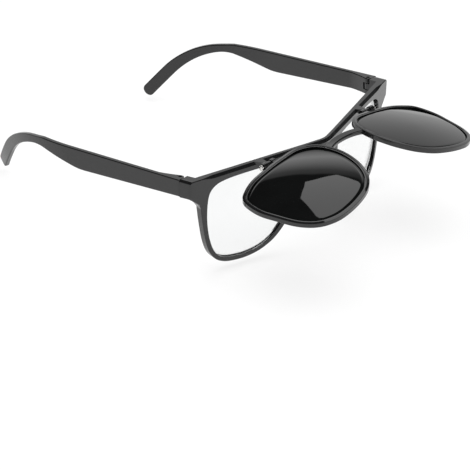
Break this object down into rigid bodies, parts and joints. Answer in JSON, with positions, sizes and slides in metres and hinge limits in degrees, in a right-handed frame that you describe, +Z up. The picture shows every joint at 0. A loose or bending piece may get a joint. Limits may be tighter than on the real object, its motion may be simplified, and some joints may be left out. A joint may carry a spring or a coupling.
{
  "type": "flip-up welding goggles",
  "caption": "Safety spectacles with clear lenses, folding temples and a second front of dark lenses that flips up on screw hinges at the brow.",
  "frame": {"origin": "middle of the bounding box on the floor the goggles stand on, with the rims and the temple tips on that floor", "axes": "+Y back along the temples, +Z up, the front faces -Y and +X is the wearer's left"},
  "size_m": [0.145, 0.1854, 0.0507],
  "materials": {
    "black_plastic": "moulded, satin gloss",
    "clear_lens": "clear, polished",
    "dark_lens": "near-black filter, polished",
    "screw": "bright"
  },
  "bodies": {
    "front": {"front_frame": "black_plastic", "clear_lens_left": "clear_lens", "clear_lens_right": "clear_lens", "temple_screw_left": "screw", "temple_screw_right": "screw"},
    "temple_l": {"temple_left": "black_plastic"},
    "temple_r": {"temple_right": "black_plastic"},
    "flip": {"flip_frame": "black_plastic", "dark_lens_left": "dark_lens", "dark_lens_right": "dark_lens", "flip_screw_left": "screw", "flip_screw_right": "screw"}
  },
  "joints": [
    {"name": "flip_up", "type": "hinge", "parent": "front", "child": "flip", "pos_m": [0, -0.04508, 0.04487], "axis": [-1, 0, 0], "range_deg": [-86, 13]},
    {"name": "temple_fold_left", "type": "hinge", "parent": "front", "child": "temple_l", "pos_m": [0.0689, -0.02281, 0.04296], "axis": [0, 0.1213, 0.9926], "range_deg": [0, 76]},
    {"name": "temple_fold_right", "type": "hinge", "parent": "front", "child": "temple_r", "pos_m": [-0.0689, -0.02281, 0.04296], "axis": [0, -0.1213, -0.9926], "range_deg": [0, 84]}
  ]
}
